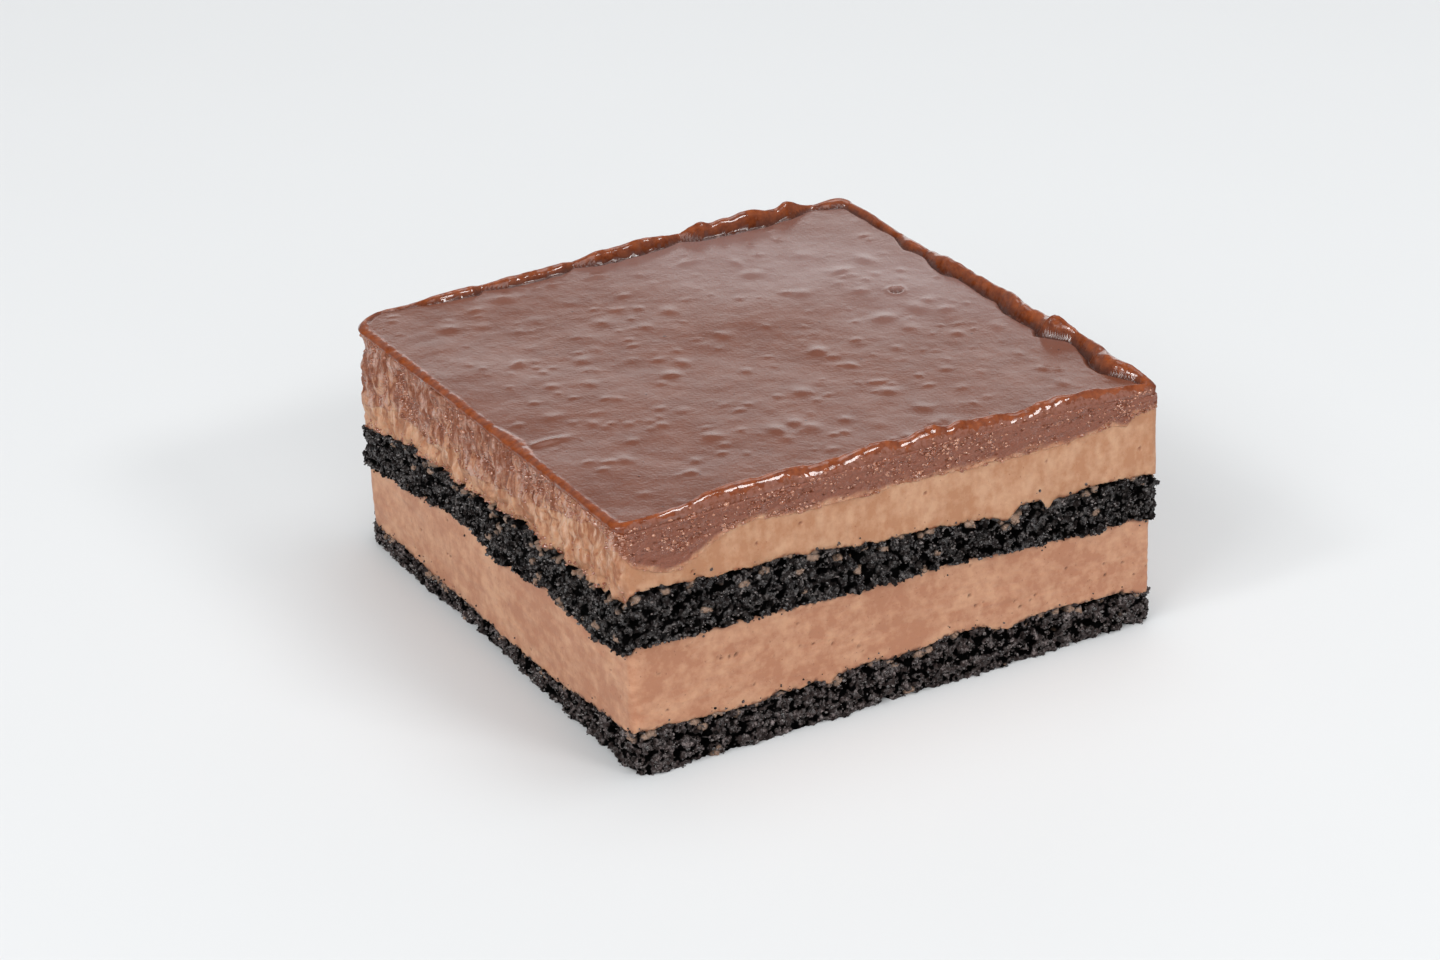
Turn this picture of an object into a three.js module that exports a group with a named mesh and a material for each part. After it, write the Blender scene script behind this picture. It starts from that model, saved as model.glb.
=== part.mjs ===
import * as THREE from 'three';

// A square of layered chocolate mousse cake. Millimetres, +Z up, foot on z = 0.
// The broad cut face looks along -Y and the smeared cut face along -X. From the foot up it is
// sponge, mousse, sponge, mousse, ganache and a thin poured glaze with a rolled rim.

// Driving dimensions.
const WIDTH = 75.8; // along X, at the foot
const DEPTH = 74.8; // along Y, at the foot
const HEIGHT = 32.1; // foot to the flat of the glaze
const CORNER_RADII = [1.6, 1.3, 2.2, 4.5]; // front left, front right, back right, back left
const GAP = 0.3; // air between two layers
const LEAN = { front: -2.4, right: 0.3, back: 0, left: 0.9 }; // outward, from foot to top

// How finely the outline is divided, and how the seams run inside the cake.
const SIDE_STEPS = 28; // along one face
const CORNER_STEPS = 3; // round one corner
const INNER_RING = 0.8; // size of the one ring inside each seam, as a share of the outline
const SEAM_FADE = 3; // power by which a seam's waves die away towards the middle

// Height of each seam where it comes out at a face, as [place along the face, height].
// Front and back are read along X, left and right along Y. middle is the height inside.
const SEAMS = {
  foot: { middle: 0, front: 0, right: 0, back: 0, left: 0 },
  lowerSponge: {
    middle: 5.2,
    front: [[-38, 6], [-24, 5.3], [-17, 5.7], [-11, 5], [6, 6.5], [15, 5], [26, 5.5], [38, 4.3]],
    right: [[-37, 4.3], [-15, 5.2], [10, 4.6], [37, 5]],
    back: [[-38, 4.5], [-15, 4], [12, 5.2], [38, 5]],
    left: [[-36, 5.8], [-29, 4.7], [-21, 3.9], [-13, 3.1], [28, 3], [37, 4.5]],
  },
  lowerMousse: {
    middle: 15.2,
    front: [[-38, 16.6], [-11, 16.2], [5, 16.4], [19, 15.1], [28, 14.6], [38, 14.4]],
    right: [[-37, 14.4], [-12, 15.2], [15, 14.2], [37, 13.6]],
    back: [[-38, 11.6], [-20, 13.2], [10, 14], [38, 13.6]],
    left: [[-36, 15.8], [-28, 14.9], [-19, 15.6], [-2, 14], [7, 15.3], [19, 13.6], [37, 11.4]],
  },
  upperSponge: {
    middle: 21.2,
    front: [
      [-38, 23], [-34, 23.8], [-21, 22.9], [-12, 22.7], [-7, 21.9], [10, 20.8], [14.5, 19.7],
      [17, 21.2], [21, 19.7], [25, 20.8], [32, 21], [38, 20.2],
    ],
    right: [[-37, 20.2], [-10, 21.4], [12, 20.2], [37, 19.6]],
    back: [[-38, 17.2], [-16, 19.5], [10, 20.6], [38, 19.6]],
    left: [[-36, 22.5], [-10, 22], [1, 20.9], [14, 20], [20, 20.4], [28, 18.6], [37, 16.8]],
  },
  upperMousse: {
    middle: 28,
    front: [
      [-38, 27.7], [-31, 25.1], [-26, 27.6], [-21, 28.8], [-5, 28.1], [18, 27.7], [30, 28.3],
      [33, 27.7], [37, 29],
    ],
    right: [[-36, 29], [-10, 28], [15, 28.6], [37, 27.6]],
    back: [[-38, 21], [-20, 26], [10, 27.8], [38, 27.6]],
    left: [
      [-36, 28.9], [-31, 29.6], [-16, 26.4], [-8, 24.9], [4, 23.1], [8, 24.6], [15, 22.6],
      [24, 23.5], [35, 20.4],
    ],
  },
  ganache: {
    middle: 30.8,
    front: [[-38, 30.8], [-20, 31.2], [8, 31.8], [28, 31.4], [38, 30.8]],
    right: [[-37, 30.8], [20, 31.1], [37, 31.8]],
    back: [[-38, 30.8], [0, 31.2], [25, 31.8], [38, 31.8]],
    left: 30.8,
  },
};

// How far each face of a layer stands out from the plan outline.
const OUT = {
  lowerSponge: { front: -0.5, right: -0.5, back: -0.2, left: [[0, -0.4], [36, 0.3]] },
  lowerMousse: { front: -0.2, right: [[-36, -0.6], [0, -0.3]], back: -0.3, left: [[0, 0], [36, 0.5]] },
  upperSponge: { front: 0.1, right: [[-36, 0.4], [0, 0.2]], back: 0, left: [[0, 0.3], [36, 0.7]] },
  upperMousse: { front: 0, right: 0, back: -0.1, left: [[0, 0], [36, 0.6]] },
  ganache: { front: 0.1, right: [[-37, 0.5], [-30, 0]], back: 0, left: [[0, 0], [36, 0.4]] },
  glaze: { front: -0.3, right: 0.3, back: 0, left: 0.1 },
};

// Relief of a wall: waves of noise, each with its height, its size across and its size up.
const TORN_CRUMB = [{ height: 0.4, across: 2.9, up: 2.3 }, { height: 0.2, across: 1.4, up: 1.2 }];
const DRAWN_MOUSSE = [{ height: 0.16, across: 11, up: 1.7 }];
const CUT_GANACHE = [{ height: 0.16, across: 2.7, up: 2 }];
const SMEARED_GANACHE = [{ height: 0.4, across: 2.4, up: 9 }];

// The rolled rim of the glaze: its width along each edge, and its rise for each millimetre.
const RIM_WIDTH = {
  front: [[-38, 0.8], [-30, 1.2], [-24, 2.2], [8, 2.7], [28, 2.4], [34, 1.8], [38, 0.9]],
  right: [
    [-36, 1.6], [-32, 3.6], [-27, 2.8], [-23, 1.5], [-20, 1.3], [-18, 3], [-10, 2.8], [-4, 2.2],
    [6, 1.7], [11, 2.6], [16, 1.4], [37, 1.4],
  ],
  back: [
    [-34, 0.5], [-27, 1.5], [-22, 1.9], [-20, 1], [-17, 1.9], [-8, 1.7], [-6, 0.9], [-3, 1.9],
    [8, 1.8], [11, 0.9], [14, 2], [28, 2.2], [33, 1.2], [36, 1.8],
  ],
  left: 1,
};
const RIM_RISE = {
  front: 0.55,
  right: [
    [-36, 0.4], [-28, 0.52], [-20, 0.8], [-16, 0.62], [6, 0.56], [15, 0.39], [24, 0.3], [33, 0.66],
  ],
  back: [[-36, 0.4], [-20, 0.5], [-11, 0.66], [-2, 0.82], [6, 1], [28, 0.98], [33, 0.36]],
  left: 0.1,
};
const RIM_SHOULDER = 0.5; // how far the outer foot of the roll lies below the glaze's flat
const RIM_SHARES = [0, 0.22, 0.5, 0.78, 1]; // rings across the roll, from its outer foot
const FLAT_SCALES = [0.88, 0.78, 0.74, 0.7, 0.6, 0.46, 0.28, 0.12]; // rings inside the rim
const BACK_RISE = 1.35; // how much higher the glaze lies towards the back right corner
const BACK_DIP = 0.6; // how much lower it lies towards the back left corner
const SWELL = { height: 0.2, across: 9 }; // slow waves in the glaze's surface
const PIT = { x: 26.6, y: 6.7, radius: 1.4, depth: 0.5 }; // a burst bubble in the glaze

/** A steady number from 0 to 1 for one point of a whole-number grid. */
function gridValue(i, j, k) {
  const mixed = Math.sin(i * 127.1 + j * 311.7 + k * 74.7) * 43758.5453;
  return mixed - Math.floor(mixed);
}

/** Smooth noise from -1 to 1 that changes over about one unit. */
function noise(x, y, z) {
  const [i, j, k] = [x, y, z].map(Math.floor);
  const [u, v, w] = [x - i, y - j, z - k].map((t) => THREE.MathUtils.smoothstep(t, 0, 1));
  const lerp = THREE.MathUtils.lerp;
  const row = (jj, kk) => lerp(gridValue(i, jj, kk), gridValue(i + 1, jj, kk), u);
  const sheet = (kk) => lerp(row(j, kk), row(j + 1, kk), v);
  return 2 * lerp(sheet(k), sheet(k + 1), w) - 1;
}

/** Reads a value at a place along a face: a plain number, or [place, value] pairs in order. */
function along(keys, place) {
  if (typeof keys === 'number') return keys;
  const next = keys.findIndex(([at]) => at > place);
  if (next === 0) return keys[0][1];
  if (next === -1) return keys.at(-1)[1];
  const [from, start] = keys[next - 1];
  const [to, end] = keys[next];
  return THREE.MathUtils.lerp(start, end, THREE.MathUtils.smoothstep(place, from, to));
}

/** Reads a value given for the four faces at a spot of the outline, blended round corners. */
function onFaces(faces, spot) {
  const alongX = along(spot.ny < 0 ? faces.front : faces.back, spot.x);
  const alongY = along(spot.nx < 0 ? faces.left : faces.right, spot.y);
  return spot.ny ** 2 * alongX + spot.nx ** 2 * alongY;
}

/** The plan outline at the foot: spots with outward normals, anticlockwise from above. */
function planOutline() {
  const corners = [[-1, -1], [1, -1], [1, 1], [-1, 1]];
  const arcs = corners.map(([sideX, sideY], corner) => {
    const radius = CORNER_RADII[corner];
    return Array.from({ length: CORNER_STEPS + 1 }, (_, step) => {
      const angle = (corner + 2 + step / CORNER_STEPS) * (Math.PI / 2);
      const nx = Math.cos(angle);
      const ny = Math.sin(angle);
      const x = sideX * (WIDTH / 2 - radius) + radius * nx;
      const y = sideY * (DEPTH / 2 - radius) + radius * ny;
      return { x, y, nx, ny };
    });
  });
  return arcs.flatMap((arc, corner) => {
    const from = arc.at(-1);
    const to = arcs[(corner + 1) % arcs.length][0];
    const face = Array.from({ length: SIDE_STEPS - 1 }, (_, step) => {
      const t = (step + 1) / SIDE_STEPS;
      const x = THREE.MathUtils.lerp(from.x, to.x, t);
      const y = THREE.MathUtils.lerp(from.y, to.y, t);
      return { x, y, nx: from.nx, ny: from.ny };
    });
    return [...arc, ...face];
  });
}

const OUTLINE = planOutline();

/** A point at height z: a spot of the outline, scaled about the middle and moved outward. */
function pointAt(spot, z, scale, out = 0) {
  const x = spot.x * scale + spot.nx * out;
  const y = spot.y * scale + spot.ny * out;
  const leanX = (x < 0 ? LEAN.left : LEAN.right) / (WIDTH / 2);
  const leanY = (y < 0 ? LEAN.front : LEAN.back) / (DEPTH / 2);
  const rise = z / HEIGHT;
  return new THREE.Vector3(x * (1 + leanX * rise), y * (1 + leanY * rise), z);
}

/** Height of a seam over one spot. Its waves die away as the scale goes from 1 to 0. */
function seamHeight(seam, spot, scale) {
  return THREE.MathUtils.lerp(seam.middle, onFaces(seam, spot), scale ** SEAM_FADE);
}

/** A closed body from rings of points, listed from its underside's middle to its top's. */
function bodyFromRings(underMiddle, rings, topMiddle) {
  const count = OUTLINE.length;
  const points = [underMiddle, ...rings.flat(), topMiddle];
  const last = points.length - 1;
  const faces = [];
  for (let i = 0; i < count; i++) {
    const j = (i + 1) % count;
    faces.push(0, 1 + j, 1 + i);
    for (let ring = 0; ring + 1 < rings.length; ring++) {
      const low = 1 + ring * count;
      const high = low + count;
      faces.push(low + i, low + j, high + j);
      faces.push(low + i, high + j, high + i);
    }
    faces.push(last, last - count + i, last - count + j);
  }
  const geometry = new THREE.BufferGeometry().setFromPoints(points);
  geometry.setIndex(faces);
  geometry.computeVertexNormals();
  return geometry;
}

/** Relief at a spot of the wall, the sum of its waves. */
function relief(waves, { x, y }, z) {
  const heights = waves.map(({ height, across, up }) => {
    return height * noise(x / across, y / across, z / up);
  });
  return heights.reduce((sum, height) => sum + height);
}

/**
 * A layer between two seams. rows is the number of bands up its wall, out its place against
 * the outline on each face, and smeared its relief on the left face where that differs.
 */
function layerGeometry({ under, over, rows, out, waves, smeared = waves }) {
  const lift = under === SEAMS.foot ? 0 : GAP / 2;
  const lowest = (spot, scale) => seamHeight(under, spot, scale) + lift;
  const highest = (spot, scale) => seamHeight(over, spot, scale) - GAP / 2;
  const inner = (height) => OUTLINE.map((spot) => {
    return pointAt(spot, height(spot, INNER_RING), INNER_RING);
  });
  const wall = Array.from({ length: rows + 1 }, (_, row) => OUTLINE.map((spot) => {
    const z = THREE.MathUtils.lerp(lowest(spot, 1), highest(spot, 1), row / rows);
    const leftness = Math.max(0, -spot.nx) ** 2;
    const bumps = THREE.MathUtils.lerp(relief(waves, spot, z), relief(smeared, spot, z), leftness);
    return pointAt(spot, z, 1, onFaces(out, spot) + bumps);
  }));
  return bodyFromRings(
    new THREE.Vector3(0, 0, under.middle + lift),
    [inner(lowest), ...wall, inner(highest)],
    new THREE.Vector3(0, 0, over.middle - GAP / 2),
  );
}

/** Height of the glaze's open surface, away from its rim. */
function glazeFlat(x, y) {
  const { clamp, smoothstep } = THREE.MathUtils;
  const rise = BACK_RISE * clamp(x / WIDTH + y / DEPTH + 0.05, 0, 1) ** 1.3;
  const dip = BACK_DIP * clamp(y / DEPTH - x / WIDTH - 0.2, 0, 1);
  const swell = noise(x / SWELL.across, y / SWELL.across, 0);
  const fromPit = Math.hypot(x - PIT.x, y - PIT.y) / PIT.radius;
  const pit = PIT.depth * (1 - smoothstep(fromPit, 0, 1));
  return HEIGHT + rise - dip + swell * SWELL.height - pit;
}

/** The glaze: a thin sheet whose rim rolls up by an uneven amount along three edges. */
function glazeGeometry() {
  const under = (spot, scale) => seamHeight(SEAMS.ganache, spot, scale) + GAP / 2;
  const rim = RIM_SHARES.map((share) => OUTLINE.map((spot) => {
    const width = onFaces(RIM_WIDTH, spot);
    const scale = 1 - (2 * share * width) / WIDTH;
    const roll = Math.sin(Math.PI * share) * width * onFaces(RIM_RISE, spot);
    const drop = RIM_SHOULDER * (1 - share) ** 2;
    const z = glazeFlat(spot.x * scale, spot.y * scale) + roll - drop;
    return pointAt(spot, z, scale, onFaces(OUT.glaze, spot) * (1 - share));
  }));
  const flat = FLAT_SCALES.map((scale) => OUTLINE.map((spot) => {
    return pointAt(spot, glazeFlat(spot.x * scale, spot.y * scale), scale);
  }));
  const base = OUTLINE.map((spot) => pointAt(spot, under(spot, 1), 1, onFaces(OUT.glaze, spot)));
  const innerBase = OUTLINE.map((spot) => pointAt(spot, under(spot, INNER_RING), INNER_RING));
  return bodyFromRings(
    new THREE.Vector3(0, 0, SEAMS.ganache.middle + GAP / 2),
    [innerBase, base, ...rim, ...flat],
    new THREE.Vector3(0, 0, glazeFlat(0, 0)),
  );
}

/** One named layer with its own material. */
function layer(name, geometry, color, roughness) {
  const material = new THREE.MeshStandardMaterial({ color, roughness, metalness: 0 });
  const mesh = new THREE.Mesh(geometry, material);
  mesh.name = name;
  return mesh;
}

const group = new THREE.Group();
group.add(
  layer('sponge_bottom', layerGeometry({
    under: SEAMS.foot,
    over: SEAMS.lowerSponge,
    rows: 4,
    out: OUT.lowerSponge,
    waves: TORN_CRUMB,
  }), 0x2b2320, 0.9),
  layer('mousse_lower', layerGeometry({
    under: SEAMS.lowerSponge,
    over: SEAMS.lowerMousse,
    rows: 4,
    out: OUT.lowerMousse,
    waves: DRAWN_MOUSSE,
  }), 0xc89878, 0.7),
  layer('sponge_middle', layerGeometry({
    under: SEAMS.lowerMousse,
    over: SEAMS.upperSponge,
    rows: 4,
    out: OUT.upperSponge,
    waves: TORN_CRUMB,
  }), 0x241e1d, 0.85),
  layer('mousse_upper', layerGeometry({
    under: SEAMS.upperSponge,
    over: SEAMS.upperMousse,
    rows: 3,
    out: OUT.upperMousse,
    waves: DRAWN_MOUSSE,
  }), 0xc89b78, 0.7),
  layer('ganache', layerGeometry({
    under: SEAMS.upperMousse,
    over: SEAMS.ganache,
    rows: 4,
    out: OUT.ganache,
    waves: CUT_GANACHE,
    smeared: SMEARED_GANACHE,
  }), 0x8a6256, 0.5),
  layer('glaze', glazeGeometry(), 0x845344, 0.25),
);

export default group;
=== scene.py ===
import bpy
import numpy as np
from mathutils import Matrix


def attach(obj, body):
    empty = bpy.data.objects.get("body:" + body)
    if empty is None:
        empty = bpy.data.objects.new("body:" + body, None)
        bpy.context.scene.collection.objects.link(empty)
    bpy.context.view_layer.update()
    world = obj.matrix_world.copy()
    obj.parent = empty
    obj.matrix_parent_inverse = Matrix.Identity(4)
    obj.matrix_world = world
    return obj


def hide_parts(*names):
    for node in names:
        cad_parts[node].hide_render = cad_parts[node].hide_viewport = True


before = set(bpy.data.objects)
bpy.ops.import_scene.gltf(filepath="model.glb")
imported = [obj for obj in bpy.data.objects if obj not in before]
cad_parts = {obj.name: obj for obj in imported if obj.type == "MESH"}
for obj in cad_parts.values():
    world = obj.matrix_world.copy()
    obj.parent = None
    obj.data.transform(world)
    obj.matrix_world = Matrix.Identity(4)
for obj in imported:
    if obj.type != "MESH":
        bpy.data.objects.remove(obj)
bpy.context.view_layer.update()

# Bottom sponge: a thin sheet of moist, nearly black cocoa sponge that the whole cake stands on.
# It was baked flat, then cut through with a knife, which tore its crumb on all four faces.
# Every layer is cut to one plan, so that plan and the tools for a torn face start here.
MM = 0.001
WIDTH, DEPTH, HEIGHT = 75.8, 74.8, 32.1
CORNER_RADII = {"front left": 1.6, "front right": 1.3, "back right": 2.2, "back left": 4.5}
LEAN = {"left": 0.9, "right": 0.3, "front": -2.4, "back": 0.0}
INNER_RING = 0.9
RAGGEDNESS = [(1, 1.4), (0.6, 0.62), (0.4, 0.3)]

FOOT = {"front": 0.0, "right": 0.0, "back": 0.0, "left": 0.0, "ragged": 0, "seed": 0}
LOWER_SPONGE_TOP = {
    "ragged": 0.19, "seed": 11,
    "front": [(-38, 6), (-34, 5.9), (-30, 5.8), (-25, 5.2), (-21, 5.1), (-18, 5.8), (-15, 5.5),
              (-13, 5.9), (-11, 4.9), (-10, 5.7), (-6, 6), (-1, 5.7), (5, 6.1), (7, 6.7), (11, 6.2),
              (15, 5), (19, 5.6), (24, 5.5), (29, 5.3), (33, 5.4), (36, 4.3)],
    "right": [(-37, 4.3), (-15, 5.2), (10, 4.6), (37, 5)],
    "back": [(-38, 4.5), (-15, 4), (12, 5.2), (38, 5)],
    "left": [(-36, 5.7), (-33, 5), (-27, 4.6), (-21, 3.9), (-15, 3.1), (28, 3), (35, 2.9),
             (37, 4.7)],
}
LOWER_SPONGE_OUT = {"front": -0.5, "right": -0.5, "back": -0.2, "left": [(0, -0.4), (36, 0.3)]}
# Relief is listed as (height, size, seed), and sizes of crumbs as (usual, least, most), in mm.
SPONGE_PITCH = 0.17
CRAGS = [(0.22, (3.4, 3.4, 2.3), 1), (0.12, 1.5, 4)]
COARSE_GRAIN, FINE_GRAIN, GRIT = (1.35, 1.35, 0.95), 0.52, (0.1, 0.34, 8)
HOLE_SIZE, HOLE_DEPTH, HOLE_SHARE = (2.1, 2.1, 1.3), 0.85, 0.7
SMEARED_SHARE, SMEARED_NEAR_MOUSSE = 0.025, 0.3
BOTTOM_CRUMBS = 5200
CRUMB_SIZES, SIZE_SPREAD = (0.36, 0.16, 0.9), 0.4
CRUMB_SUNK, CRUMB_CLEAR = 0.05, 0.45
FLECK_STAND = 0.16
# Sponge colours: the pale colour lands on grit tops, partly pale crumb and partly a painted
# highlight. The pore colour is near black, painted shade in pores and holes; loose crumbs get it at
# random.
BOTTOM_GRAIN = (0.036, 0.026, 0.0245, 1)
BOTTOM_PALE_AND_LIT_TOP = (0.22, 0.18, 0.175, 1)
SMEAR_COLOUR = (0.34, 0.215, 0.15, 1)
PORE_SHADE = (0.0005, 0.0003, 0.0003, 1)
WALL_PORES, CRUMB_PORES = (0.15, 0.5), (0.3, 0.9)


def random_at(cells, seed):
    """A steady number from 0 to 1 for each whole-number cell."""
    mixed = cells @ np.array([73856093, 19349663, 83492791]) + seed * 4256249
    mixed = (mixed ^ (mixed >> 13)) * 1274126177
    mixed = (mixed ^ (mixed >> 16)) * 668265263
    return ((mixed ^ (mixed >> 15)) & 0xFFFFFF) / 0xFFFFFF


def noise(points, size, seed):
    """Smooth noise from -1 to 1 over points, changing over about size millimetres."""
    scaled = points / np.asarray(size, float)
    cells = np.floor(scaled).astype(np.int64)
    share = scaled - cells
    share = share**3 * (share * (share * 6 - 15) + 10)
    total = 0
    for corner in np.ndindex(2, 2, 2):
        weight = np.prod(np.where(corner, share, 1 - share), axis=-1)
        total = total + weight * random_at(cells + np.array(corner), seed)
    return 2 * total - 1


def waves(points, layers):
    """A sum of noises, each given as its height, its size and its seed."""
    return sum(height * noise(points, size, seed) for height, size, seed in layers)


def nearest_centre(points, size, seed):
    """Distance to the nearest of many scattered centres, in sizes, and that centre's number."""
    scaled = points / np.asarray(size, float)
    cells = np.floor(scaled).astype(np.int64)
    nearest = np.full(points.shape[:-1], 9.0)
    number = np.zeros_like(nearest)
    for step in np.ndindex(3, 3, 3):
        cell = cells + np.array(step) - 1
        centre = cell + np.stack([random_at(cell, seed + axis) for axis in (1, 2, 3)], -1)
        distance = np.linalg.norm(scaled - centre, axis=-1)
        number = np.where(distance < nearest, random_at(cell, seed), number)
        nearest = np.minimum(distance, nearest)
    return nearest, number


def ease(value, low, high):
    """0 below low, 1 above high, and a smooth step between."""
    share = np.clip((value - low) / (high - low), 0, 1)
    return share * share * (3 - 2 * share)


def flat_points(x, y):
    """Points at the foot's height, or ways that lie level."""
    return np.stack([x, y, 0 * x], -1)


def around(per_side):
    """Places on the edge of a unit square, anticlockwise from the front left corner."""
    run = np.linspace(-1, 1, per_side, endpoint=False)
    edge = np.ones(per_side)
    return np.concatenate([run, edge, -run, -edge]), np.concatenate([-edge, run, edge, -run])


def plan_spots(u, v):
    """Places on the plan's rounded edge, with outward normals: x, y, nx, ny."""
    x, y = u * WIDTH / 2, v * DEPTH / 2
    front = np.where(x < 0, CORNER_RADII["front left"], CORNER_RADII["front right"])
    back = np.where(x < 0, CORNER_RADII["back left"], CORNER_RADII["back right"])
    radius = np.where(y < 0, front, back)
    past_x = np.abs(x) - (WIDTH / 2 - radius)
    past_y = np.abs(y) - (DEPTH / 2 - radius)
    rounded = (past_x > 0) & (past_y > 0)
    length = np.where(rounded, np.hypot(past_x, past_y), 1)
    side = np.abs(u) >= np.abs(v)
    nx = np.sign(x) * np.where(rounded, past_x / length, side)
    ny = np.sign(y) * np.where(rounded, past_y / length, ~side)
    x = np.where(rounded, np.sign(x) * (WIDTH / 2 - radius) + radius * nx, x)
    y = np.where(rounded, np.sign(y) * (DEPTH / 2 - radius) + radius * ny, y)
    return np.stack([x, y, nx, ny])


def along(keys, place):
    """Reads a value at places along a face: one number, or (place, value) pairs in order."""
    if np.isscalar(keys):
        return np.full_like(place, keys)
    return np.interp(place, *np.transpose(keys))


def on_faces(faces, spots):
    """Reads a value given for the four faces at spots of the plan, blended round corners."""
    x, y, nx, ny = spots
    along_x = np.where(ny < 0, along(faces["front"], x), along(faces["back"], x))
    along_y = np.where(nx < 0, along(faces["left"], y), along(faces["right"], y))
    return ny**2 * along_x + nx**2 * along_y


def leaned(x, y, z):
    """Points of the upright plan, set where the leaning faces have them."""
    lean_x = np.where(x < 0, LEAN["left"], LEAN["right"]) / (WIDTH / 2)
    lean_y = np.where(y < 0, LEAN["front"], LEAN["back"]) / (DEPTH / 2)
    rise = z / HEIGHT
    return np.stack([x * (1 + lean_x * rise), y * (1 + lean_y * rise), z], -1)


def seam_height(seam, spots):
    """Height of a seam round the cake, with the fine raggedness that both its layers share."""
    layers = [(share, size, seam["seed"] + n) for n, (share, size) in enumerate(RAGGEDNESS)]
    return on_faces(seam, spots) + seam["ragged"] * waves(flat_points(*spots[:2]), layers)


def cut_layer(name, under, over, out, relief, pitch):
    """A layer as a piece, and its wall's points, its wall's marks and its plan.

    relief(points, spots, above, below) gives the wall's height and its named marks, where
    above and below are a point's distances from the lower and the upper seam.
    """
    spots = plan_spots(*around(int(WIDTH / pitch)))
    x, y, nx, ny = spots
    low, high = seam_height(under, spots), seam_height(over, spots)
    share = np.linspace(0, 1, int(np.max(high - low) / pitch) + 1)[:, None]
    z = low + (high - low) * share
    flat = np.stack([x + 0 * z, y + 0 * z, z], -1)
    height, marks = relief(flat, spots, z - low, high - z)
    stand = on_faces(out, spots) + height
    wall = leaned(x + nx * stand, y + ny * stand, z)
    wall[..., 2] = np.maximum(wall[..., 2], 0)
    inner = [leaned(x * INNER_RING, y * INNER_RING, z[row])[None] for row in (0, -1)]
    rings = np.concatenate([inner[0], wall, inner[1]])
    on_rings = {mark: np.concatenate([m[:1], m, m[-1:]]) for mark, m in marks.items()}
    return add_layer(name, rings, on_rings), wall, marks, spots


def add_piece(name, points, faces, marks=None, smooth=True):
    """A mesh piece in the scene, from points in millimetres. marks are values on its points."""
    mesh = bpy.data.meshes.new(name)
    mesh.from_pydata((points * MM).tolist(), [], faces)
    mesh.polygons.foreach_set("use_smooth", [smooth] * len(mesh.polygons))
    for mark, values in (marks or {}).items():
        layer = mesh.attributes.new(mark, "FLOAT", "POINT")
        layer.data.foreach_set("value", np.asarray(values, np.float32))
    piece = bpy.data.objects.new(name, mesh)
    bpy.context.collection.objects.link(piece)
    return piece


def band(low, high):
    """Faces between two rings of numbered points, the low ring and the high one."""
    return np.stack([low, np.roll(low, -1), np.roll(high, -1), high], -1).tolist()


def fan(middle, ring):
    """Faces from a middle point to a ring of numbered points, looking down."""
    return np.stack([np.full(len(ring), middle), np.roll(ring, -1), ring], -1).tolist()


def add_layer(name, rings, marks):
    """A closed piece from rings of points, listed upward, with marks kept on its points."""
    ends = [[0, 0, rings[0, :, 2].mean()], [0, 0, rings[-1, :, 2].mean()]]
    points = np.concatenate([rings.reshape(-1, 3), ends])
    index = np.arange(len(points) - 2).reshape(rings.shape[:2])
    faces = fan(index.size, index[0]) + fan(index.size + 1, index[-1, ::-1])
    for low, high in zip(index, index[1:]):
        faces += band(low, high)
    padded = {mark: np.append(values.ravel(), [0, 0]) for mark, values in marks.items()}
    return add_piece(name, points, faces, padded)


def torn_crumb(points, spots, above, below):
    """Height of a torn sponge face, how open it is, and where mousse is smeared on it."""
    coarse, number = nearest_centre(points, COARSE_GRAIN, 2)
    fine, _ = nearest_centre(points, FINE_GRAIN, 6)
    holes, chance = nearest_centre(points, HOLE_SIZE, 10)
    hole = (1 - ease(holes, 0.2, 0.46)) * (chance > 1 - HOLE_SHARE)
    grains = 0.6 * (0.7 - coarse) + 0.36 * (0.7 - fine) + waves(points, [GRIT])
    height = waves(points, CRAGS) + grains - HOLE_DEPTH * hole
    openness = np.clip(0.1 + 1.9 * (coarse - 0.5) + 1.5 * (fine - 0.5) + hole, 0, 1)
    near_mousse = 1 - ease(below, 0.2, 1.5)
    smeared = number > 1 - SMEARED_SHARE - SMEARED_NEAR_MOUSSE * near_mousse
    smear = smeared * (1 - ease(coarse, 0.4, 0.65)) * (1 - hole)
    return height, {"openness": openness, "smear": smear}


def icosahedron():
    """Points and faces of a small round grain of radius 1."""
    gold = (1 + 5**0.5) / 2
    points = [(a, b * gold, 0) for a in (-1, 1) for b in (-1, 1)]
    points = np.array([np.roll(p, k) for k in range(3) for p in points], float)
    points /= np.linalg.norm(points[0])
    side = np.linalg.norm(points[:, None] - points, axis=-1)
    near = (side > 0.1) & (side < 1.2)
    faces = [(i, j, k) for i in range(12) for j in range(i + 1, 12) for k in range(j + 1, 12)
             if near[i, j] and near[j, k] and near[i, k]]
    outward = [np.dot(np.cross(points[j] - points[i], points[k] - points[i]), points[i]) > 0
               for i, j, k in faces]
    faces = [face if out else face[::-1] for face, out in zip(faces, outward)]
    return points, np.array(faces)


def random_sizes(sizes, count, draw):
    """Sizes in millimetres round a usual one, from the least to the most."""
    usual, least, most = sizes
    return np.clip(draw.lognormal(np.log(usual), SIZE_SPREAD, count), least, most)


def add_bodies(name, bodies, faces, marks=None, smooth=True):
    """Many small bodies that share one list of faces, as one piece that stays off the floor."""
    bodies[..., 2] = np.maximum(bodies[..., 2], 0.01)
    faces = faces + bodies.shape[1] * np.arange(len(bodies))[:, None, None]
    return add_piece(name, bodies.reshape(-1, 3), faces.reshape(-1, 3).tolist(), marks, smooth)


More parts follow.
